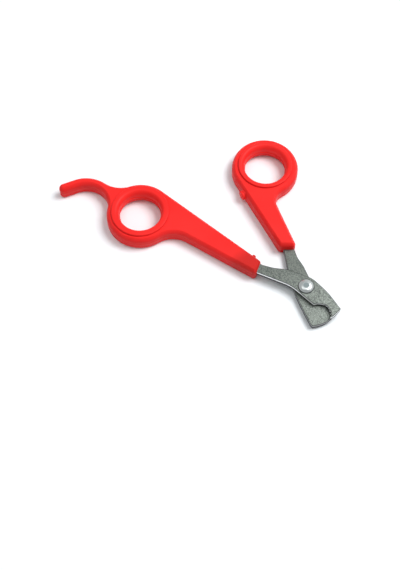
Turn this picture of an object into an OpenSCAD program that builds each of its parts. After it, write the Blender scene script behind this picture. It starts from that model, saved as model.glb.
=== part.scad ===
// Pet nail clippers of the scissor kind: two moulded handles on two steel blades, which
// cross at one rivet. Millimetres, +Z up, the origin on the pivot's axis at the level of
// the surface that the clippers lie on, and +X the way the jaws point.
//
// Each half is drawn along its own X axis, with its finger hole on the -X side, and is
// then turned about the pivot to the angle that the clippers lie open at.

/* [Opening] */
// Angle between the lines from the pivot to the two finger holes, as the clippers lie
open_angle = 48.6; // [30:0.1:60]

/* [Handles] */
// Thickness of both handles
handle_t = 7; // [6:0.1:8]
// How far the collar round each finger hole stands up
collar_h = 0.9; // [0.4:0.1:1.4]
// Width of each finger hole at its narrowest
hole_d = 18; // [16:0.1:18.4]
// Height of the straight land at the narrowest place of the hole
land_h = 2; // [1.2:0.1:3]

/* [Long handle] */
// Distance from the pivot to the middle of the finger hole
finger_reach = 78; // [74:0.5:84]
// Outer diameter of the ring
finger_ring_d = 29; // [28:0.1:30]
// Outer diameter of the collar
finger_collar_d = 24.8; // [23:0.1:26]
// Distance from the hole to the middle of the finger rest's bend, along the handle
rest_reach = 23.3; // [22:0.1:26]
// Distance from the hole to the middle of the finger rest's bend, to the side
rest_drop = 7.2; // [5:0.1:9]
// Width of the finger rest's arm
rest_w = 4; // [3:0.1:5]
// Angle at which the finger rest's bend ends, and its straight tip begins
rest_end = 139; // [125:1:160]
// Length of that straight tip
rest_tip = 5.6; // [3:0.1:8]

/* [Short handle] */
// Distance from the pivot to the middle of the thumb hole
thumb_reach = 60.8; // [58:0.1:66]
// Outer diameter of the ring
thumb_ring_d = 29; // [28:0.1:30]
// Outer diameter of the collar
thumb_collar_d = 23.6; // [22:0.1:25]
// Diameter of the stop peg
stop_d = 4; // [3:0.1:5]
// How far the stop peg stands out of the handle's side
stop_out = 1.5; // [1:0.1:2.1]

/* [Blades] */
// Thickness of each blade
blade_t = 2.2; // [1.8:0.1:2.4]
// Height of the lower blade above the surface
blade_z = 0.8; // [0.7:0.1:1]
// Distance from the pivot to the end of the jaws
jaw_r = 17.1; // [16.5:0.1:18]
// Diameter of the notch that holds the nail
notch_d = 9.2; // [8:0.1:9.6]
// Number of teeth in the notch
teeth = 5; // [3:1:7]
// Length of each blade's tang inside its handle
tang_l = 24; // [16:0.5:26]

/* [Rivet] */
// Diameter of the rivet's shank
shank_d = 4; // [3.4:0.1:4.4]
// Diameter of the domed head
head_d = 6.7; // [6:0.1:7.2]
// Height of the domed head
head_h = 1.3; // [1:0.1:1.5]
// Diameter of the flat tail on the back
tail_d = 6.2; // [5.4:0.1:7]
// Running clearance in the lower blade's hole, on the radius
run_gap = 0.05; // [0.02:0.01:0.09]

/* [Hidden] */

$fn = 96;
arc_step = 7.5;        // degrees from one point of an outline's arc to the next
face_gap = 0.05;       // between the blades, and between the lower blade and the tail
over = 1;              // how far a cutter runs past the face that it cuts
edge_r = 1.1;          // rounding of a handle's upper and lower edges
edge_steps = 3;        // facets in that rounding
edge_skip = 0.03;      // how far the cutter of that rounding starts outside the handle
corner_r = 1.4;        // corners of a handle's end, seen from above
handle_red = "#ff3a38";
steel = "#9aa09c";

// Long handle, with the corners of the end that holds its blade
finger_r = finger_ring_d / 2;
finger_c = [-finger_reach, 0];
finger_blend_r = 11;
finger_top_corner = [-21.5, 2.2];
finger_low_corner = [-20.9, -4.6];
finger_low_a = 175;
rest_c = finger_c - [rest_reach, rest_drop];
rest_in_r = norm(rest_c - finger_c) - finger_r;
rest_out_r = rest_in_r + rest_w;
rest_blend_r = 12;

// Short handle, with the corners of the end that holds its blade
thumb_r = thumb_ring_d / 2;
thumb_c = [-thumb_reach, 0];
thumb_blend_r = 6;
thumb_top_corner = [-18.8, 1.9];
thumb_low_corner = [-20.6, -5.3];
thumb_top_a = 186;
stop_x = -50.6;
stop_dome_r = 3.4;

// Finger holes and their collars
hole_r = hole_d / 2;
flare = 1.8;           // how much wider the hole is at its two ends, on the radius
ring_t = handle_t + collar_h;
land_z = ring_t / 2;
collar_edge = 0.45;

// Blades: each tang starts at its root and leaves the jaws at the angle given
top_z = blade_z + blade_t + face_gap;
pivot_r = shank_d / 2;
notch_r = notch_d / 2;
notch_c = [9.9, -8.8];
notch_nose = 142;      // where the notch meets the cutting edge, round the notch
lip_r = 0.3;           // rounding where the notch meets the end of the jaw
tooth_h = 0.35;
teeth_from = 12;       // the teeth stand between these two angles, round the notch
teeth_to = 92;
tooth_points = 8;
tang_w = 3.5;
tang_end_r = 1.4;
tang_hole_d = 2;
tang_holes = [0.42, 0.8];
top_root = [-21.2, -1.05];
top_tang_a = 172.5;
bottom_root = [-20, -1.2];
bottom_tang_a = 188.6;

// Rivet
tail_z = 0.1;
head_rim = 0.25;

// ---- outlines, each a list of points that runs clockwise ----

function dir(a) = [cos(a), sin(a)];
function left(v) = [-v.y, v.x];
function unit(v) = v / norm(v);
function angle_of(v) = atan2(v.y, v.x);

// Points along an arc about c, from angle a to angle b
function arc(c, r, a, b) =
    let (n = max(2, ceil(abs(b - a) / arc_step)))
    [for (i = [0:n]) c + r * dir(a + (b - a) * i / n)];

// Middle of the rounding of radius r at the corner p, between the points a and b
function corner_middle(a, p, b, r) =
    let (u = unit(a - p), v = unit(b - p))
    p + unit(u + v) * r / sin(acos(u * v) / 2);

// Points of that rounding, drawn to a radius that is smaller by inset
function corner(a, p, b, r, inset = 0) =
    let (c = corner_middle(a, p, b, r), run = r / tan(acos(unit(a - p) * unit(b - p)) / 2),
         start = angle_of(p + unit(a - p) * run - c),
         end = angle_of(p + unit(b - p) * run - c))
    arc(c, r - inset, start, start + (end - start + 540) % 360 - 180);

// A path through points [x, y, r], each of its inner corners rounded to its own r
function path(p) =
    let (q = [for (v = p) [v.x, v.y]], last = len(p) - 1)
    [for (i = [0:last])
        each i == 0 || i == last ? [q[i]] : corner(q[i - 1], q[i], q[i + 1], p[i][2])];

// Middle of the blend of radius r that touches two circles, to the left of c0 to c1
function blend_circles(c0, r0, c1, r1, r) =
    let (d = norm(c1 - c0), u = unit(c1 - c0),
         a = (pow(r0 + r, 2) - pow(r1 + r, 2) + d * d) / (2 * d))
    c0 + a * u + sqrt(pow(r0 + r, 2) - a * a) * left(u);

// Middle of the blend of radius r between a circle and the line from p at angle a. It
// lies to the left of the line where side is 1, and to its right where side is -1
function blend_line(c, rc, p, a, r, side) =
    let (u = dir(a), q = p + side * r * left(u), along = (c - q) * u,
         apart = norm(c - q - along * u))
    q + (along - sqrt(pow(rc + r, 2) - apart * apart)) * u;

// Angle, about c, at which the tangent from p touches a circle
function tangent_angle(c, r, p, side) = angle_of(p - c) + side * acos(r / norm(p - c));

// The long handle, drawn smaller by inset all round
function finger_outline(inset) =
    let (low_c = blend_line(finger_c, finger_r, finger_low_corner, finger_low_a,
                            finger_blend_r, 1),
         low_t = angle_of(low_c - finger_c),
         low_start = low_c + finger_blend_r * dir(finger_low_a - 90),
         rest_t = angle_of(rest_c - finger_c),
         tip_c = rest_c + (rest_in_r + rest_w / 2) * dir(rest_end)
             + rest_tip * dir(rest_end + 90),
         top_c = blend_circles(rest_c, rest_out_r, finger_c, finger_r, rest_blend_r),
         out_t = angle_of(top_c - rest_c),
         top_t = angle_of(top_c - finger_c),
         line_t = tangent_angle(finger_c, finger_r, finger_top_corner, 1),
         line_start = finger_c + finger_r * dir(line_t))
    concat(
        corner(line_start, finger_top_corner, finger_low_corner, corner_r, inset),
        corner(finger_top_corner, finger_low_corner, low_start, corner_r, inset),
        arc(low_c, finger_blend_r + inset, finger_low_a - 90, low_t + 180),
        arc(finger_c, finger_r - inset, low_t, rest_t),
        arc(rest_c, rest_in_r + inset, rest_t + 180, rest_end),
        arc(tip_c, rest_w / 2 - inset, rest_end + 180, rest_end),
        arc(rest_c, rest_out_r - inset, rest_end, out_t),
        arc(top_c, rest_blend_r + inset, out_t + 180, top_t + 180),
        arc(finger_c, finger_r - inset, top_t, line_t));

thumb_low_t = tangent_angle(thumb_c, thumb_r, thumb_low_corner, -1);
thumb_low_end = thumb_c + thumb_r * dir(thumb_low_t);

// The short handle, drawn smaller by inset all round
function thumb_outline(inset) =
    let (top_c = blend_line(thumb_c, thumb_r, thumb_top_corner, thumb_top_a,
                            thumb_blend_r, -1),
         top_t = angle_of(top_c - thumb_c),
         top_end = top_c + thumb_blend_r * dir(thumb_top_a + 90))
    concat(
        corner(top_end, thumb_top_corner, thumb_low_corner, corner_r, inset),
        corner(thumb_top_corner, thumb_low_corner, thumb_low_end, corner_r, inset),
        arc(thumb_c, thumb_r - inset, thumb_low_t, top_t - 360),
        arc(top_c, thumb_blend_r + inset, top_t + 180, thumb_top_a + 90));

// Notch from one angle to another, with a row of teeth between two others
function notch(from, to) =
    let (n = teeth * tooth_points, span = teeth_to - teeth_from)
    concat(
        arc(notch_c, notch_r, from, teeth_from),
        [for (i = [1:n - 1])
            notch_c + (notch_r + tooth_h * abs(sin(180 * i / tooth_points)))
                * dir(teeth_from + span * i / n)],
        arc(notch_c, notch_r, teeth_to, to));

function tang_end(root, a) = root + tang_l * dir(a);
// Corner of the tang's end, on the +Y side where side is 1
function tang_corner(root, a, side) =
    let (p = tang_end(root, a) - side * tang_w / 2 * left(dir(a))) [p.x, p.y, tang_end_r];

function top_outline() =
    let (end = tang_end(top_root, top_tang_a), back_a = -9.8,
         n = norm(notch_c),
         lip_a = angle_of(notch_c) + acos((pow(jaw_r - lip_r, 2) + n * n
             - pow(notch_r + lip_r, 2)) / (2 * (jaw_r - lip_r) * n)),
         lip_c = (jaw_r - lip_r) * dir(lip_a))
    concat(
        path([end, tang_corner(top_root, top_tang_a, 1), [-21, 1, 10], [-16, 1.8, 15],
              [-9.5, 4.1, 12], [0.8, 4.75, 10], [9, 1.75, 30], jaw_r * dir(back_a)]),
        arc([0, 0], jaw_r, back_a, lip_a),
        arc(lip_c, lip_r, lip_a, angle_of(notch_c - lip_c)),
        notch(angle_of(lip_c - notch_c), notch_nose - 6),
        path([notch_c + notch_r * dir(notch_nose - 6),
              [notch_c.x + notch_r * cos(notch_nose), notch_c.y + notch_r * sin(notch_nose),
               lip_r],
              [-5.8, -2.3, 15], [-21.3, -3.1, 10],
              tang_corner(top_root, top_tang_a, -1), end]));

function bottom_outline() =
    let (end = tang_end(bottom_root, bottom_tang_a), front_a = 13.2, back_a = -4)
    concat(
        path([end, tang_corner(bottom_root, bottom_tang_a, 1), [-19.5, 1, 6],
              [-15, 1.15, 8], [-10.5, 2.4, 10], [-3, 3.3, 20], [15, 7, 0.8],
              jaw_r * dir(front_a)]),
        arc([0, 0], jaw_r, front_a, back_a),
        path([jaw_r * dir(back_a), [16.95, -2.6, 1.2], [11.4, -3.5, 20], [1.7, -4.75, 20],
              [-10.7, -4.4, 20], [-19.5, -3.45, 6],
              tang_corner(bottom_root, bottom_tang_a, -1), end]));

// The points that differ from the one before
function distinct(p) =
    [for (i = [0:len(p) - 1]) if (norm(p[i] - p[(i + len(p) - 1) % len(p)]) > 0.005) p[i]];

// ---- shapes ----

// A ring-shaped solid. Its section has one point for each loop, anticlockwise
module band(loops, heights) {
    n = len(loops[0]);
    m = len(loops);
    points = [for (k = [0:m - 1]) for (v = loops[k]) [v.x, v.y, heights[k]]];
    faces = [for (k = [0:m - 1]) for (i = [0:n - 1])
        let (j = (i + 1) % n, up = (k + 1) % m) [k * n + i, k * n + j, up * n + j, up * n + i]];
    polyhedron(points, faces);
}

// Section of the cutter that rounds a handle's lower edge: how far in, and how high
edge_turn = 90 / edge_steps;
edge_run = edge_r + edge_skip / tan(edge_turn / 2);
edge_section = concat(
    [[-over, -edge_skip], [-over, edge_run], [-edge_skip, edge_run]],
    [for (i = [1:edge_steps - 1])
        edge_r * [1 - cos(edge_turn * i), 1 - sin(edge_turn * i)]],
    [[edge_run, -edge_skip]]);
edge_last = len(edge_section) - 1;

// A plate of a handle's thickness. outline is a function of how far in it is drawn
module rounded_plate(outline) {
    loops = [for (v = edge_section) distinct(outline(v[0]))];
    rise = [for (v = edge_section) v[1]];
    difference() {
        linear_extrude(handle_t)
            polygon(distinct(outline(0)));
        band(loops, rise);
        band([for (k = [edge_last:-1:0]) loops[k]],
             [for (k = [edge_last:-1:0]) handle_t - rise[k]]);
    }
}

module collar(c, d) {
    translate([c.x, c.y, 0])
        rotate_extrude()
            polygon([[hole_r, edge_r], [d / 2, edge_r], [d / 2, ring_t - collar_edge],
                     [d / 2 - collar_edge * 0.3, ring_t - collar_edge * 0.3],
                     [d / 2 - collar_edge, ring_t], [hole_r, ring_t]]);
}

// The hole widens from its land towards both faces along a quarter of an ellipse
module hole_cutter(c) {
    turns = [0:15:90];
    rise = land_z - land_h / 2;
    low = [for (a = turns) [hole_r + flare * (1 - sin(a)), rise * (1 - cos(a))]];
    high = [for (a = turns) [hole_r + flare * (1 - cos(a)), land_z + land_h / 2 + rise * sin(a)]];
    translate([c.x, c.y, 0])
        rotate_extrude()
            polygon(concat([[0, -over], [hole_r + flare, -over]], low, high,
                           [[hole_r + flare, ring_t + over], [0, ring_t + over]]));
}

module blade(outline, root, tang_a, z, pivot_hole_r) {
    translate([0, 0, z])
        linear_extrude(blade_t)
            difference() {
                polygon(distinct(outline));
                circle(pivot_hole_r);
                for (k = tang_holes)
                    translate(root + k * tang_l * dir(tang_a))
                        circle(d = tang_hole_d);
            }
}

module top_plate() {
    blade(top_outline(), top_root, top_tang_a, top_z, pivot_r);
}

module bottom_plate() {
    blade(bottom_outline(), bottom_root, bottom_tang_a, blade_z, pivot_r + run_gap);
}

module stop_peg() {
    at = thumb_low_corner + (thumb_low_end - thumb_low_corner)
        * (stop_x - thumb_low_corner.x) / (thumb_low_end.x - thumb_low_corner.x);
    translate([at.x, at.y, handle_t / 2])
        rotate([0, 90, thumb_low_t])
            intersection() {
                translate([0, 0, -stop_d])
                    cylinder(h = stop_d + stop_out, d = stop_d);
                translate([0, 0, stop_out - stop_dome_r])
                    sphere(stop_dome_r);
            }
}

// ---- parts ----

module finger_handle() {
    color(handle_red)
        rotate([0, 0, open_angle / 2])
            difference() {
                union() {
                    rounded_plate(function(e) finger_outline(e));
                    collar(finger_c, finger_collar_d);
                }
                hole_cutter(finger_c);
                top_plate();
            }
}

module thumb_handle() {
    color(handle_red)
        rotate([0, 0, -open_angle / 2])
            difference() {
                union() {
                    rounded_plate(function(e) thumb_outline(e));
                    collar(thumb_c, thumb_collar_d);
                    stop_peg();
                }
                hole_cutter(thumb_c);
                bottom_plate();
            }
}

module top_blade() {
    color(steel)
        rotate([0, 0, open_angle / 2])
            top_plate();
}

module bottom_blade() {
    color(steel)
        rotate([0, 0, -open_angle / 2])
            bottom_plate();
}

// The shank is tight in the upper blade, and the lower blade turns on it
module pivot_rivet() {
    head_z = top_z + blade_t;
    rise = head_h - head_rim;
    dome_r = (pow(head_d / 2, 2) + rise * rise) / (2 * rise);
    color("#c9cbc6") {
        translate([0, 0, tail_z])
            cylinder(h = blade_z - face_gap - tail_z, d = tail_d);
        translate([0, 0, tail_z])
            cylinder(h = head_z - tail_z, d = shank_d);
        intersection() {
            translate([0, 0, head_z])
                cylinder(h = head_h, d = head_d);
            translate([0, 0, head_z + head_h - dome_r])
                sphere(dome_r);
        }
    }
}

finger_handle();
thumb_handle();
top_blade();
bottom_blade();
pivot_rivet();
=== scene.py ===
import math
import bpy
import numpy as np
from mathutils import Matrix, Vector, geometry


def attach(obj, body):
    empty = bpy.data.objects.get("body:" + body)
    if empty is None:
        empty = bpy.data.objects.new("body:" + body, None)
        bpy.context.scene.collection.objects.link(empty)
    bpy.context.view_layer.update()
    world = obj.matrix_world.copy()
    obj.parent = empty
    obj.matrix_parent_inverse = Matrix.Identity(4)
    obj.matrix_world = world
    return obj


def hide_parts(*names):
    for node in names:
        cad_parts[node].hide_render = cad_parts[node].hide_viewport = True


# Pet nail clippers of the scissor kind. Everything is in metres in the frame's own axes,
# but each outline is drawn in millimetres along its own half of the clippers, with the
# pivot at the origin, and is then turned to where that half lies.

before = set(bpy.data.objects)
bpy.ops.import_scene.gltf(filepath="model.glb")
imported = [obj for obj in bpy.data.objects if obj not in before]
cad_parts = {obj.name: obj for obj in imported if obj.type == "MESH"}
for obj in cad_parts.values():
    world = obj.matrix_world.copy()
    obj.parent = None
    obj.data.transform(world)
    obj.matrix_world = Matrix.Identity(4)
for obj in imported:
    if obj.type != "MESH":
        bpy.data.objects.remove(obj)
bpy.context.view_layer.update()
mm = 0.001
halfAngle = 24.3          # each half is turned this many degrees from the X axis
arcStep = 2.5             # degrees between two points of an arc


def direction(degrees):
    # (cos a, sin a) for one angle or a whole array of them
    a = np.radians(degrees)
    return np.stack([np.cos(a), np.sin(a)], -1)


def angleOf(v):
    return math.degrees(math.atan2(v[1], v[0]))


def leftOf(v):
    return np.array([-v[1], v[0]])


def unit(v):
    return v / np.linalg.norm(v)


def arc(centre, radius, start, end):
    # points centre + radius * direction(t), and the outward side of an outline that runs
    # clockwise: away from the centre on a turn to the right, towards it on one to the left
    count = max(2, math.ceil(abs(end - start) / arcStep))
    d = direction(np.linspace(start, end, count + 1))
    return centre + radius * d, d if end < start else -d


def cornerArc(a, p, b, radius):
    # the arc that touches both lines p to a and p to b, from the first to the second
    u, v = unit(a - p), unit(b - p)
    half = math.acos(float(u @ v)) / 2
    centre = p + unit(u + v) * radius / math.sin(half)
    run = radius / math.tan(half)
    start, end = angleOf(p + u * run - centre), angleOf(p + v * run - centre)
    return arc(centre, radius, start, start + (end - start + 540) % 360 - 180)


def roundedPath(points):
    # straight lines through points (x, y, radius), each inner corner turned into an arc
    q = np.array([p[:2] for p in points], float)
    parts = [cornerArc(q[i - 1], q[i], q[i + 1], points[i][2]) for i in range(1, len(q) - 1)]
    return parts


def joined(parts, gap=1.5):
    # one closed loop out of arcs: doubled points are dropped, and the straight lines
    # between arcs are cut into steps no longer than gap
    p = np.concatenate([a for a, _ in parts])
    n = np.concatenate([b for _, b in parts])
    keep = np.linalg.norm(p - np.roll(p, 1, 0), axis=1) > 2e-3
    p, n = p[keep], n[keep]
    nextP, nextN = np.roll(p, -1, 0), np.roll(n, -1, 0)
    cuts = np.maximum(1, np.ceil(np.linalg.norm(nextP - p, axis=1) / gap)).astype(int)
    row = np.repeat(np.arange(len(p)), cuts)
    share = (np.arange(len(row)) - np.repeat(np.cumsum(cuts) - cuts, cuts)) / cuts[row]
    p = p[row] + (nextP - p)[row] * share[:, None]
    n = n[row] + (nextN - n)[row] * share[:, None]
    return p, n / np.linalg.norm(n, axis=1)[:, None]


def blendCircles(c0, r0, c1, r1, radius):
    # middle of the arc of this radius that touches both circles, left of c0 to c1
    d, u = np.linalg.norm(c1 - c0), unit(c1 - c0)
    a = ((r0 + radius) ** 2 - (r1 + radius) ** 2 + d * d) / (2 * d)
    return c0 + a * u + math.sqrt((r0 + radius) ** 2 - a * a) * leftOf(u)


def blendLine(c, rc, p, degrees, radius, side):
    # middle of the arc of this radius between a circle and the line from p
    u = direction(degrees)
    q = p + side * radius * leftOf(u)
    along = float((c - q) @ u)
    apart = np.linalg.norm(c - q - along * u)
    return q + (along - math.sqrt((rc + radius) ** 2 - apart * apart)) * u


def tangentAngle(c, radius, p, side):
    return angleOf(p - c) + side * math.degrees(math.acos(radius / np.linalg.norm(p - c)))


def quarter(count):
    # sine and one minus cosine over a quarter turn
    t = np.linspace(0, math.pi / 2, count + 1)
    return np.sin(t), 1 - np.cos(t)


def gridFaces(rows, columns, base=0, flip=False):
    # quads between neighbouring rows of a grid that closes on itself along its columns
    k, i = np.meshgrid(np.arange(rows - 1), np.arange(columns), indexing="ij")
    j = (i + 1) % columns
    quads = np.stack([k * columns + i, (k + 1) * columns + i, (k + 1) * columns + j,
                      k * columns + j], -1).reshape(-1, 4) + base
    return quads[:, ::-1] if flip else quads


def capFaces(loops, starts, up):
    # triangles between a flat outline and the round hole in it; starts are the loops'
    # first rows in the mesh, and each triangle is turned so that its normal points up or
    # down. A triangle with all its points on the hole lies inside it, and is left out
    flat = [Vector((float(x), float(y))) for loop in loops for x, y in loop]
    index = np.concatenate([np.arange(len(loop)) + s for loop, s in zip(loops, starts)])
    edges, first = [], 0
    for loop in loops:
        n = len(loop)
        edges += [(first + i, first + (i + 1) % n) for i in range(n)]
        first += n
    _, _, faces, origin, _, _ = geometry.delaunay_2d_cdt(flat, edges, [], 1, 1e-9)
    back = np.array([o[0] for o in origin])
    tri = back[np.array(faces)]
    tri = tri[(tri < len(loops[0])).any(1)]
    xy = np.array([tuple(v) for v in flat])[tri]
    area = np.cross(xy[:, 1] - xy[:, 0], xy[:, 2] - xy[:, 0])
    tri = np.where((area > 0)[:, None] == up, tri, tri[:, ::-1])
    return index[tri]


def addMesh(name, verts, faces, angle, wall=None):
    # verts come in millimetres; wall is one number a point, kept as an attribute
    mesh = bpy.data.meshes.new(name)
    mesh.from_pydata((np.asarray(verts) * mm).tolist(), [], [f.tolist() for f in faces])
    mesh.validate()
    mesh.polygons.foreach_set("use_smooth", np.ones(len(mesh.polygons), bool))
    mesh.set_sharp_from_angle(angle=math.radians(angle))
    if wall is not None:
        layer = mesh.attributes.new("wall", "FLOAT", "POINT")
        layer.data.foreach_set("value", np.asarray(wall, np.float32))
    obj = bpy.data.objects.new(name, mesh)
    bpy.context.scene.collection.objects.link(obj)
    return obj


def turned(xy, degrees):
    c, s = math.cos(math.radians(degrees)), math.sin(math.radians(degrees))
    return np.stack([c * xy[:, 0] - s * xy[:, 1], s * xy[:, 0] + c * xy[:, 1]], -1)


def edgeBand(p, n, inset, height):
    # the profile (inset, height) carried along the outline: p - inset * n at each height
    xy = p[None] - inset[:, None, None] * n[None]
    z = np.broadcast_to(height[:, None, None], xy.shape[:2] + (1,))
    return np.concatenate([xy, z], -1)


def revolved(centre, radius, height, count):
    # the profile (radius, height) turned about an upright axis through centre
    d = direction(np.arange(count) * 360 / count)
    xy = centre + radius[:, None, None] * d[None]
    z = np.broadcast_to(height[:, None, None], xy.shape[:2] + (1,))
    return np.concatenate([xy, z], -1)


def solidOfTurn(grid, start, end):
    # faces of a closed solid of turn: one point at each end, and the grid's rows between
    rows, count = grid.shape[:2]
    i = np.arange(count)
    j = (i + 1) % count
    last = 1 + rows * count
    verts = np.concatenate([[start], grid.reshape(-1, 3), [end]])
    first = np.stack([0 * i, 1 + j, 1 + i], -1)
    final = np.stack([0 * i + last, last - count + i, last - count + j], -1)
    return verts, [gridFaces(rows, count, 1, flip=True), first, final]


def makePlate(name, outline, profile, centre, hole, count, turn, angle, node, body,
              extra=None):
    # a plate: its outline's edge, a hole turned about centre, and a flat face between the
    # two on each side
    p, n = outline
    inset, height, wall = profile
    radius, holeHeight, holeWall = hole
    band = edgeBand(p, n, inset, height)
    ring = revolved(centre, radius, holeHeight, count)
    rows, cols = band.shape[:2]
    base = rows * cols
    lastRing = base + (len(radius) - 1) * count
    verts = np.concatenate([band.reshape(-1, 3), ring.reshape(-1, 3)])
    walls = np.concatenate([np.repeat(wall, cols), np.repeat(holeWall, count)])
    faces = [gridFaces(rows, cols), gridFaces(len(radius), count, base, flip=True),
             capFaces([band[-1, :, :2], ring[0, :, :2]], [base - cols, base], True),
             capFaces([band[0, :, :2], ring[-1, :, :2]], [0, lastRing], False)]
    if extra is not None:
        more, moreFaces = extra
        faces += [f + len(verts) for f in moreFaces]
        verts = np.concatenate([verts, more])
        walls = np.concatenate([walls, np.zeros(len(more))])
    verts[:, :2] = turned(verts[:, :2], turn)
    obj = addMesh(name, verts, [row for part in faces for row in part], angle, walls)
    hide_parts(node)
    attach(obj, body)
    return obj


# both handles: sizes in millimetres, angles in degrees
handle = {
    "thick": 7.0,
    "edgeRadius": 1.2,        # rounding of the lower edge
    "edgeSteps": 8,
    "chamferWide": 1.3,       # the upper edge falls away from a crease on the face
    "chamferHigh": 2.3,
    "partLine": 0.035,        # how far the mould's parting line stands out of the walls
    "collarHigh": 0.9,
    "collarEdge": 0.38,
    "collarFoot": 0.12,
    "holeRadius": 9.0,
    "flare": 1.8,             # how much wider the hole is at its two ends
    "landHigh": 2.0,
    "ridge": 0.24,            # parting line inside the hole
    "endRadius": 1.4,
}
fingerShape = {
    "centre": (-78.0, 0.0), "ring": 14.5, "collar": 12.4, "turn": halfAngle,
    "topCorner": (-21.5, 2.2), "lowCorner": (-20.9, -4.6), "lowAngle": 175, "blend": 11,
    "restOffset": (-23.3, -7.2), "restWide": 4.0, "restEnd": 139, "restTip": 5.6,
    "restBlend": 12,
    "nub": {"along": -25.4, "radius": 0.8, "out": 0.85, "rim": 0.3, "foot": 0.15, "high": 4.7},
}
thumbShape = {
    "centre": (-60.8, 0.0), "ring": 14.5, "collar": 11.8, "turn": -halfAngle,
    "topCorner": (-18.8, 1.9), "lowCorner": (-20.6, -5.3), "topAngle": 186, "blend": 6,
    "peg": {"along": -50.6, "radius": 2.0, "out": 1.5, "rim": 0.5, "foot": 0.35, "high": 3.5},
}


def fingerOutline():
    # clockwise from the blade's end: lower line, blend, ring, inside of the finger rest,
    # its tip, its outside, blend, ring, and the upper line that touches the ring
    s = fingerShape
    c, r = np.array(s["centre"]), s["ring"]
    top, low = np.array(s["topCorner"]), np.array(s["lowCorner"])
    lowC = blendLine(c, r, low, s["lowAngle"], s["blend"], 1)
    lowT = angleOf(lowC - c)
    lowStart = lowC + s["blend"] * direction(s["lowAngle"] - 90)
    rest = c + np.array(s["restOffset"])
    restT = angleOf(rest - c)
    inR = np.linalg.norm(rest - c) - r
    outR = inR + s["restWide"]
    tip = (rest + (inR + s["restWide"] / 2) * direction(s["restEnd"])
           + s["restTip"] * direction(s["restEnd"] + 90))
    topC = blendCircles(rest, outR, c, r, s["restBlend"])
    topT = angleOf(topC - c)
    lineT = tangentAngle(c, r, top, 1)
    lineStart = c + r * direction(lineT)
    return joined([
        cornerArc(lineStart, top, low, handle["endRadius"]),
        cornerArc(top, low, lowStart, handle["endRadius"]),
        arc(lowC, s["blend"], s["lowAngle"] - 90, lowT + 180),
        arc(c, r, lowT, restT),
        arc(rest, inR, restT + 180, s["restEnd"]),
        arc(tip, s["restWide"] / 2, s["restEnd"] + 180, s["restEnd"]),
        arc(rest, outR, s["restEnd"], angleOf(topC - rest)),
        arc(topC, s["restBlend"], angleOf(topC - rest) + 180, topT + 180),
        arc(c, r, topT, lineT)]), top, lineStart


def thumbOutline():
    # clockwise from the blade's end: lower line that touches the ring, ring, blend and
    # upper line
    s = thumbShape
    c, r = np.array(s["centre"]), s["ring"]
    top, low = np.array(s["topCorner"]), np.array(s["lowCorner"])
    topC = blendLine(c, r, top, s["topAngle"], s["blend"], -1)
    topT = angleOf(topC - c)
    topEnd = topC + s["blend"] * direction(s["topAngle"] + 90)
    lineT = tangentAngle(c, r, low, -1)
    lineEnd = c + r * direction(lineT)
    return joined([
        cornerArc(topEnd, top, low, handle["endRadius"]),
        cornerArc(top, low, lineEnd, handle["endRadius"]),
        arc(c, r, lineT, topT - 360),
        arc(topC, s["blend"], topT + 180, s["topAngle"] + 90)]), low, lineEnd


def handleProfile():
    # (inset, height) from the underside round the lower edge, up the wall over the fine parting
    # line, and over the upper edge, a twelfth of a turn stretched to its width and height so that
    # it ends in a crease; wall is 1 on the wall and 0 on the faces, and darkens the colour on the
    # lower edge and wall as painted shade
    h = handle
    r, t, wide, high = h["edgeRadius"], h["thick"], h["chamferWide"], h["chamferHigh"]
    s, c = quarter(h["edgeSteps"])
    turn = np.linspace(0, math.pi / 6, h["edgeSteps"])
    over, up = (1 - np.cos(turn)) / (1 - math.cos(turn[-1])), np.sin(turn) / math.sin(turn[-1])
    inset = np.concatenate([[r + 0.2], r * (1 - s), [0, -h["partLine"], 0], wide * over])
    height = np.concatenate([[0], r * c, [t / 2 - 0.16, t / 2, t / 2 + 0.16],
                             t - high + high * up])
    wall = np.concatenate([[0], s, [1] * 3, 1 - over])
    return inset, height, wall


def holeProfile(collar):
    # (radius, height) from the handle's face up the collar, over its rounded top, down the
    # quarter ellipse into the hole, over the parting line, and out to the underside; wall is 1 on
    # the collar's foot and side, and 0.7 below the parting line, and darkens the colour there as
    # painted shade
    h = handle
    t, e, foot = h["thick"], h["collarEdge"], h["collarFoot"]
    top = t + h["collarHigh"]
    mid, halfLand = top / 2, h["landHigh"] / 2
    rise = mid - halfLand
    s4, c4 = quarter(8)
    s9, c9 = quarter(10)
    radius = np.concatenate([[collar + foot + 0.2], collar + foot * (1 - s4),
                             collar - e * c4, [collar - e - 0.15],
                             (h["holeRadius"] + h["flare"] * (1 - s9))[:-1],
                             [h["holeRadius"], h["holeRadius"], h["holeRadius"] - h["ridge"],
                              h["holeRadius"], h["holeRadius"]],
                             (h["holeRadius"] + h["flare"] * c9)[1:],
                             [h["holeRadius"] + h["flare"] + 0.2]])
    height = np.concatenate([[t], t + foot * c4, top - e * (1 - s4), [top],
                             (top - rise * c9)[:-1],
                             [mid + halfLand, mid + 0.2, mid, mid - 0.2, mid - halfLand],
                             (rise * (1 - s9))[1:], [0]])
    wall = np.zeros(len(radius))
    wall[1:10], wall[10:19] = 1, 1 - s4
    wall[-12:-1] = 0.7
    return radius, height, wall


def makeHandle(name, outline, shape, node, body, extra=None):
    return makePlate(name, outline, handleProfile(), np.array(shape["centre"]),
                     holeProfile(shape["collar"]), 144, shape["turn"], 21,
                     node, body, extra)


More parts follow.
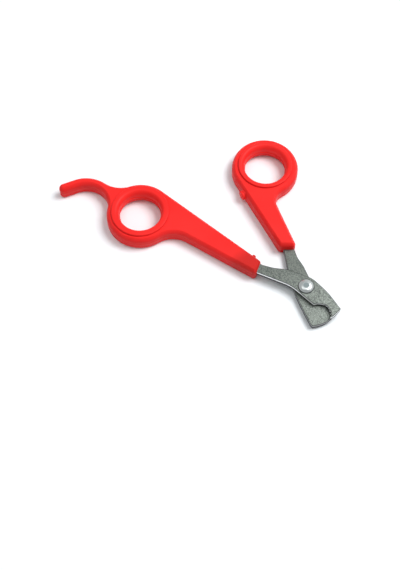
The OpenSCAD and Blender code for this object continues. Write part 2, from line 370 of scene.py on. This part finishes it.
def pegSurface(start, end, peg):
    # the profile (radius, distance) turned about the peg's own axis, which stands square
    # to the handle's side from start to end: inner end, foot, rounded rim, domed top
    side = unit(end - start)
    at = start + (end - start) * (peg["along"] - start[0]) / (end[0] - start[0])
    axis = leftOf(side) if end[1] < start[1] else -leftOf(side)
    r, out, rim, foot = peg["radius"], peg["out"], peg["rim"], peg["foot"]
    s5, c5 = quarter(5)
    radius = np.concatenate([[r + foot], r + foot * (1 - s5), r - rim * c5,
                             (r - rim) * np.array([0.66, 0.33])])
    dist = np.concatenate([[-0.8], foot * c5, out - 0.15 - rim * (1 - s5),
                           [out - 0.07, out - 0.02]])
    a = np.arange(48) * 2 * math.pi / 48
    xy = at + dist[:, None, None] * axis + (radius[:, None] * np.cos(a))[..., None] * leftOf(axis)
    z = peg["high"] + radius[:, None] * np.sin(a)
    ends = [np.append(at + d * axis, peg["high"]) for d in (-0.8, out)]
    return solidOfTurn(np.concatenate([xy, z[..., None]], -1), *ends)


fingerPath, fingerStart, fingerEnd = fingerOutline()
fingerHandle = makeHandle("fingerHandle", fingerPath, fingerShape, "finger_handle",
                          "long_half", pegSurface(fingerStart, fingerEnd, fingerShape["nub"]))
thumbPath, thumbStart, thumbEnd = thumbOutline()
thumbHandle = makeHandle("thumbHandle", thumbPath, thumbShape, "thumb_handle",
                         "short_half", pegSurface(thumbStart, thumbEnd, thumbShape["peg"]))
print("handles made")

# both blades, in the same units
blade = {
    "thick": 2.2,
    "lowZ": 0.8,
    "gap": 0.05,              # between the two blades
    "edgeBreak": 0.12,        # rounding that shearing and blasting left on each edge
    # rim: width of a border of painted shade along each edge
    "rim": 0.17,              # darker border inside that rounding
    "jawRadius": 17.1,
    "lip": 0.3,
    "notchCentre": (9.9, -8.8),
    "notchRadius": 4.6,
    "notchNose": 142,
    "teeth": 5,
    "toothHigh": 0.35,
    "teethFrom": 12,
    "teethTo": 92,
    "tangLong": 24.0,
    "tangWide": 3.5,
    "tangEnd": 1.4,
    "shank": 2.0,
    "run": 0.05,              # the lower blade's clearance on the rivet
}


def toothed(centre, radius, high, start, end, count):
    # an arc whose radius grows by high * |sin| between the points of its teeth
    turn = np.linspace(0, 1, count * 10 + 1)
    grow = high * np.abs(np.sin(math.pi * count * turn))
    d = direction(start + (end - start) * turn)
    return centre + (radius + grow)[:, None] * d, -d


def tangCorner(root, degrees, side):
    d = direction(degrees)
    p = np.array(root) + blade["tangLong"] * d - side * blade["tangWide"] / 2 * leftOf(d)
    return (p[0], p[1], blade["tangEnd"])


def flatEnd(p):
    return (p[0], p[1], 0)


def topBladeOutline():
    # clockwise from the end of the tang: back edge, end of the jaw, lip, toothed notch,
    # its nose, and the lower edge back to the tang
    b = blade
    root, tangAngle, backAngle = (-21.2, -1.05), 172.5, -9.8
    end = np.array(root) + b["tangLong"] * direction(tangAngle)
    notch, r, lip = np.array(b["notchCentre"]), b["notchRadius"], b["lip"]
    n, jaw = np.linalg.norm(notch), b["jawRadius"] - lip
    lipAngle = angleOf(notch) + math.degrees(math.acos(
        (jaw * jaw + n * n - (r + lip) ** 2) / (2 * jaw * n)))
    lipC = jaw * direction(lipAngle)
    nose = notch + r * direction(b["notchNose"])
    beforeNose = notch + r * direction(b["notchNose"] - 6)
    return joined(
        roundedPath([flatEnd(end), tangCorner(root, tangAngle, 1), (-21, 1, 10),
                     (-16, 1.8, 15), (-9.5, 4.1, 12), (0.8, 4.75, 10), (9, 1.75, 30),
                     flatEnd(b["jawRadius"] * direction(backAngle))])
        + [arc(np.zeros(2), b["jawRadius"], backAngle, lipAngle),
           arc(lipC, lip, lipAngle, angleOf(notch - lipC)),
           arc(notch, r, angleOf(lipC - notch), b["teethFrom"]),
           toothed(notch, r, b["toothHigh"], b["teethFrom"], b["teethTo"], b["teeth"]),
           arc(notch, r, b["teethTo"], b["notchNose"] - 6)]
        + roundedPath([flatEnd(beforeNose), (nose[0], nose[1], lip), (-5.8, -2.3, 15),
                       (-21.3, -3.1, 10), tangCorner(root, tangAngle, -1), flatEnd(end)]),
        0.8)


def bottomBladeOutline():
    # clockwise from the end of the tang: straight cutting edge, end of the jaw with its
    # rounded corner, and the back edge
    b = blade
    root, tangAngle = (-20, -1.2), 188.6
    end = np.array(root) + b["tangLong"] * direction(tangAngle)
    front, back = b["jawRadius"] * direction(13.2), b["jawRadius"] * direction(-4)
    return joined(
        roundedPath([flatEnd(end), tangCorner(root, tangAngle, 1), (-19.5, 1, 6),
                     (-15, 1.15, 8), (-10.5, 2.4, 10), (-3, 3.3, 20), (15, 7, 0.8),
                     flatEnd(front)])
        + [arc(np.zeros(2), b["jawRadius"], 13.2, -4)]
        + roundedPath([flatEnd(back), (16.95, -2.6, 1.2), (11.4, -3.5, 20),
                       (1.7, -4.75, 20), (-10.7, -4.4, 20), (-19.5, -3.45, 6),
                       tangCorner(root, tangAngle, -1), flatEnd(end)]),
        0.8)


def makeBlade(name, outline, z, holeRadius, turn, node, body):
    # the edge of a blade: wall is 0 on a face, 0.5 where the border ends and the rounding
    # of the edge starts, and 1 on the upright wall; the hole runs the other way
    b, e = blade, blade["edgeBreak"]
    s, c = quarter(3)
    inset = np.concatenate([[e + b["rim"]], e * (1 - s), e * c, [e + b["rim"]]])
    height = z + np.concatenate([[0], e * c, b["thick"] - e * (1 - s), [b["thick"]]])
    wall = np.concatenate([[0], 0.5 + 0.5 * s, 1 - 0.5 * c, [0]])
    hole = (holeRadius + np.array([0.1, 0, 0, 0.1]), z + b["thick"] * np.array([1, 1, 0, 0]),
            np.array([0, 1, 1, 0]))
    return makePlate(name, outline, (inset, height, wall), np.zeros(2), hole, 64, turn, 35,
                     node, body)


topZ = blade["lowZ"] + blade["thick"] + blade["gap"]
topBlade = makeBlade("topBlade", topBladeOutline(), topZ, blade["shank"], halfAngle,
                     "top_blade", "long_half")
bottomBlade = makeBlade("bottomBlade", bottomBladeOutline(), blade["lowZ"],
                        blade["shank"] + blade["run"], -halfAngle, "bottom_blade",
                        "short_half")
print("blades made")

# the rivet's head, dome and tail
rivet = {
    "head": 6.7,
    "high": 1.3,
    "rim": 0.25,
    "flat": 1.2,              # radius of the flat that the hammer left on the dome
    "tail": 6.2,
    "tailZ": 0.1,
}


def makeRivet():
    # the profile (radius, height) turned about the pivot: flat tail, shank, underside of
    # the head, its low rim, and a dome that falls from its flat by the share's power 2.2
    v, shank = rivet, blade["shank"]
    r, t, base = v["head"] / 2, v["tail"] / 2, topZ + blade["thick"]
    share = np.linspace(1, 0, 24)
    s, c = quarter(3)
    tailTop = blade["lowZ"] - blade["gap"]
    radius = np.concatenate([[t - 0.4, t - 0.15], t - 0.15 * (1 - s)[1:],
                             [t, shank, shank, r - 0.1], r - 0.1 * (1 - s)[1:],
                             v["flat"] + (r - 0.06 - v["flat"]) * share, [v["flat"] / 2]])
    height = np.concatenate([[v["tailZ"]] * 2, v["tailZ"] + 0.15 * c[1:],
                             [tailTop, tailTop, base, base], base + 0.1 * c[1:],
                             base + v["high"] - (v["high"] - v["rim"]) * share ** 2.2,
                             [base + v["high"]]])
    grid = revolved(np.zeros(2), radius, height, 96)
    verts, faces = solidOfTurn(grid, [0, 0, v["tailZ"]], [0, 0, base + v["high"]])
    obj = addMesh("pivotRivet", verts, [row for part in faces for row in part], 50)
    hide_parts("pivot_rivet")
    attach(obj, "long_half")
    return obj


pivotRivet = makeRivet()
print("rivet made")


class Link:
    # a socket that can be written in an expression: each operator adds one Math node
    def __init__(self, paint, socket):
        self.paint, self.socket = paint, socket

    def math(self, operation, *values, clamp=False):
        node = self.paint.node("ShaderNodeMath", {"operation": operation, "use_clamp": clamp},
                               dict(enumerate((self,) + values)))
        return Link(self.paint, node.outputs[0])

    def __add__(self, other):
        return self.math("ADD", other)

    __radd__ = __add__

    def __mul__(self, other):
        return self.math("MULTIPLY", other)

    __rmul__ = __mul__

    def __sub__(self, other):
        return self.math("SUBTRACT", other)

    def __rsub__(self, other):
        return self.math("MULTIPLY", -1.0).math("ADD", other)

    def within(self, low, high):
        # 0 below low, 1 above high, and a smooth step between
        node = self.paint.node("ShaderNodeMapRange", {"interpolation_type": "SMOOTHSTEP"},
                               {"Value": self, "From Min": low, "From Max": high})
        return Link(self.paint, node.outputs["Result"])


class Paint:
    # one material and the few ways its nodes are made
    def __init__(self, name, **fixed):
        self.material = bpy.data.materials.new(name)
        self.material.use_nodes = True
        self.tree = self.material.node_tree
        self.shader = self.tree.nodes["Principled BSDF"]
        for key, value in fixed.items():
            self.shader.inputs[key.replace("_", " ")].default_value = value
        self.place = Link(self, self.node("ShaderNodeTexCoord").outputs["Object"])

    def node(self, kind, settings=None, sockets=None):
        node = self.tree.nodes.new(kind)
        for key, value in (settings or {}).items():
            setattr(node, key, value)
        for key, value in (sockets or {}).items():
            self.join(value, node.inputs[key])
        return node

    def join(self, value, socket):
        if isinstance(value, Link):
            self.tree.links.new(value.socket, socket)
        else:
            socket.default_value = value

    def noise(self, scale, detail=2.0, rough=0.5, place=None):
        node = self.node("ShaderNodeTexNoise", None, {
            "Vector": place or self.place, "Scale": scale, "Detail": detail,
            "Roughness": rough})
        return Link(self, node.outputs["Fac"])

    def attribute(self, name):
        made = self.node("ShaderNodeAttribute", {"attribute_name": name})
        return Link(self, made.outputs["Fac"])

    def mixed(self, factor, a, b):
        node = self.node("ShaderNodeMix", {"data_type": "RGBA"},
                         {"Factor": factor, 6: a, 7: b})
        return Link(self, node.outputs[2])

    def distance(self, point):
        node = self.node("ShaderNodeVectorMath", {"operation": "DISTANCE"},
                         {0: self.place, 1: point})
        return Link(self, node.outputs["Value"])

    def axis(self, name):
        node = self.node("ShaderNodeSeparateXYZ", None, {0: self.place})
        return Link(self, node.outputs[name])

    def bump(self, height, strength, distance):
        node = self.node("ShaderNodeBump", None, {
            "Height": height, "Strength": strength, "Distance": distance})
        return Link(self, node.outputs[0])

    def finish(self, color, roughness, normal=None, metallic=None):
        for key, value in (("Base Color", color), ("Roughness", roughness),
                           ("Normal", normal), ("Metallic", metallic)):
            if value is not None:
                self.join(value, self.shader.inputs[key])
        return self.material


def rgb(r, g, b):
    # a screen colour from 0 to 255 as the linear values that a shader wants
    c = np.array([r, g, b]) / 255
    linear = np.where(c <= 0.04045, c / 12.92, ((c + 0.055) / 1.055) ** 2.4)
    return (*(float(v) for v in linear), 1.0)


plastic = {
    "red": rgb(240, 44, 41),
    "deepRed": rgb(234, 37, 34),
    # the darker red of the walls is painted shade
    "wallShadeRed": rgb(204, 8, 8),
    "tangRed": rgb(170, 28, 22),
    "fingerEnd": (-0.0176, -0.0127, 0.0035),   # where the steel inside shows through
    "thumbEnd": (-0.0215, 0.0034, 0.0035),
    "rough": 0.4,
    "mottle": 55.0,           # slow variation, per metre
    "grain": 5200.0,          # fine skin of the mould, per metre
    "grainHigh": 0.000012,
}


def plasticPaint():
    # colour drifts a little over the handle, is darker on the walls, the collar's side and the
    # lower half of each hole as painted shade, and darkens towards the blade's end, where the
    # steel inside shows through; roughness drifts too, and the skin has a fine grain
    p = Paint("mouldedPlastic", IOR=1.49, Specular_IOR_Level=0.16)
    slow = p.noise(plastic["mottle"], 2.0).within(0.3, 0.7)
    fine = p.noise(plastic["grain"], 3.0, 0.6)
    wobble = 0.004 * (slow - 0.5)
    finger = 1 - (p.distance(plastic["fingerEnd"]) + wobble).within(0.006, 0.0145)
    thumb = 1 - (p.distance(plastic["thumbEnd"]) + wobble).within(0.001, 0.009)
    color = p.mixed(slow, plastic["red"], plastic["deepRed"])
    # painted shade: the wall attribute darkens the red on the walls, the collar's side and the
    # lower half of each hole
    color = p.mixed(0.6 * p.attribute("wall"), color, plastic["wallShadeRed"])
    color = p.mixed(0.65 * finger + 0.25 * thumb, color, plastic["tangRed"])
    rough = plastic["rough"] + 0.05 * slow + 0.08 * (fine - 0.5)
    return p.finish(color, rough, p.bump(fine, 0.25, plastic["grainHigh"]))


steel = {
    "face": rgb(122, 129, 122),
    "dark": rgb(74, 80, 76),
    "worn": rgb(148, 156, 148),
    # rim: the dark border along each edge, painted shade
    "rim": rgb(38, 41, 40),
    # the near-white burnished band is partly its own shine and partly painted highlight
    "burnishGlint": rgb(244, 246, 246),
    # the near-black torn metal is partly its dull fracture and partly painted shade
    "tornShade": rgb(26, 27, 29),
    "speckle": 2400.0,
    "rough": 0.46,
}


def steelPaint():
    # blasted faces: dark and light speckles of under half a millimetre with a matching bump,
    # lighter towards the jaws, with a dark border of painted shade along each edge. On the walls,
    # the height within the blade goes from 0 to 1: a band that the punch burnished lies from
    # about 0.55 to 0.9, painted near white for its shine and as a painted highlight, dimmed on
    # the lower blade as painted shade, and below it the torn metal is painted near black for its
    # dull fracture and as painted shade
    p = Paint("blastedSteel")
    edge = p.attribute("wall")
    # the dark border along each edge is painted shade
    shadedBorder, wall = edge.within(0.02, 0.35), edge.within(0.6, 0.98)
    high = ((p.axis("Z") - 0.001 * blade["lowZ"])
            * (1000 / (blade["thick"] + blade["gap"]))).math("FRACT")
    speck = p.noise(steel["speckle"], 3.0, 0.65)
    slow = p.noise(220.0, 2.0)
    ragged = 0.16 * (p.noise(900.0, 3.0) - 0.5)
    band = (high + ragged).within(0.5, 0.58) * (1 - high.within(0.9, 0.95))
    # painted shade: the burnished band is dimmed on the lower blade
    band = band * (0.3 + 0.7 * p.axis("Z").within(0.0029, 0.0031))
    tone = (0.9 * speck + 0.1 * slow).within(0.37, 0.63)
    used = 1 - p.distance((0.0165, 0.0, 0.003)).within(0.008, 0.026)
    color = p.mixed(tone, steel["dark"], p.mixed(used, steel["face"], steel["worn"]))
    color = p.mixed(shadedBorder, color, steel["rim"])
    # on the walls: burnished band painted near white as its shine and a painted highlight, torn
    # metal below painted near black as its dull fracture and painted shade
    color = p.mixed(wall, color, p.mixed(band, steel["tornShade"], steel["burnishGlint"]))
    rough = steel["rough"] + 0.12 * (speck - 0.5) - 0.2 * (wall * band)
    return p.finish(color, rough, p.bump(speck, 0.4, 0.00003), 0.4)


def rivetPaint():
    # smooth steel that was struck round its rim, with painted reflection and shade: the flat of
    # the dome is painted grey and the ring round it near white, a painted reflection, and the
    # side is painted dark where it meets the blade, a painted shade
    p = Paint("rivetSteel")
    flat = p.node("ShaderNodeVectorMath", {"operation": "MULTIPLY"},
                  {0: p.place, 1: (1, 1, 0)})
    far = Link(p, p.node("ShaderNodeVectorMath", {"operation": "LENGTH"},
                         {0: Link(p, flat.outputs[0])}).outputs["Value"])
    middle = 1 - far.within(0.0009, 0.0019)
    fine = p.noise(2600.0, 3.0)
    side = far.within(0.00295, 0.0032)
    # painted reflection: the flat middle of the dome is grey and the ring round it near white
    color = p.mixed(middle, rgb(206, 211, 210), rgb(118, 127, 128))
    # painted shade: dark where the head's side meets the blade
    color = p.mixed(side, color, rgb(70, 74, 74))
    rough = 0.36 + 0.1 * middle + 0.1 * (fine - 0.5)
    return p.finish(color, rough, p.bump(fine, 0.25, 0.00002), 1.0)


def floorPaint():
    p = Paint("paleTable")
    slow = p.noise(6.0, 2.0)
    return p.finish(p.mixed(slow, rgb(247, 250, 252), rgb(243, 248, 251)), 0.6)


for piece in (fingerHandle, thumbHandle):
    piece.data.materials.append(bpy.data.materials.get("mouldedPlastic") or plasticPaint())
for piece in (topBlade, bottomBlade):
    piece.data.materials.append(bpy.data.materials.get("blastedSteel") or steelPaint())
pivotRivet.data.materials.append(rivetPaint())
print("materials made")

# table, light and camera
studio = {
    "target": (-0.03015, -0.03205, 0.0),
    "elevation": 62.8,
    "azimuth": (-0.779, 0.627),   # the way the camera looks, seen from above
    "distance": 0.42,
    "lens": 90.0,
    "keyAt": (0.13, 0.45, 0.8),
    "keyPower": 7.8,
    "keySize": 0.5,
    "topAt": (-0.2, -0.2, 0.9),
    "topPower": 1.4,
    "topSize": 0.4,
    "horizonGrey": 0.8,
    "zenithGrey": 0.24,
}


def makeFloor():
    grid = np.array([(-1, -1, 0), (1, -1, 0), (1, 1, 0), (-1, 1, 0)]) * 1500.0
    floor = addMesh("table", grid, [np.array([0, 1, 2, 3])], 30)
    floor.data.materials.append(floorPaint())


def areaLight(name, place, power, size):
    data = bpy.data.lights.new(name, "AREA")
    data.energy, data.size = power, size
    lamp = bpy.data.objects.new(name, data)
    lamp.location = place
    towards = Vector(studio["target"]) - Vector(place)
    lamp.rotation_euler = towards.to_track_quat("-Z", "Y").to_euler()
    bpy.context.scene.collection.objects.link(lamp)


def makeCamera():
    e = math.radians(studio["elevation"])
    look = np.array(studio["azimuth"])
    look = look / np.linalg.norm(look)
    target = Vector(studio["target"])
    back = Vector((-look[0] * math.cos(e), -look[1] * math.cos(e), math.sin(e)))
    data = bpy.data.cameras.new("camera")
    data.sensor_fit, data.sensor_width, data.lens = "HORIZONTAL", 36.0, studio["lens"]
    data.clip_start, data.clip_end = 0.01, 20.0
    camera = bpy.data.objects.new("camera", data)
    camera.location = target + studio["distance"] * back
    camera.rotation_euler = back.to_track_quat("Z", "Y").to_euler()
    bpy.context.scene.collection.objects.link(camera)
    bpy.context.scene.camera = camera


def makeWorld():
    # a pale room: the light falls from horizonGrey near the horizon to zenithGrey overhead
    world = bpy.data.worlds.new("world")
    world.use_nodes = True
    bpy.context.scene.world = world
    tree = world.node_tree
    sky = tree.nodes["Background"]
    sky.inputs["Color"].default_value = (0.97, 0.985, 1.0, 1)
    place = tree.nodes.new("ShaderNodeTexCoord")
    split = tree.nodes.new("ShaderNodeSeparateXYZ")
    fall = tree.nodes.new("ShaderNodeMapRange")
    for key, value in (("From Min", 0.15), ("From Max", 0.9),
                       ("To Min", studio["horizonGrey"]), ("To Max", studio["zenithGrey"])):
        fall.inputs[key].default_value = value
    tree.links.new(place.outputs["Generated"], split.inputs[0])
    tree.links.new(split.outputs["Z"], fall.inputs["Value"])
    tree.links.new(fall.outputs["Result"], sky.inputs["Strength"])


makeFloor()
areaLight("key", studio["keyAt"], studio["keyPower"], studio["keySize"])
areaLight("top", studio["topAt"], studio["topPower"], studio["topSize"])
makeWorld()
bpy.context.scene.view_settings.view_transform = "Standard"
makeCamera()
print("table, light and camera made")
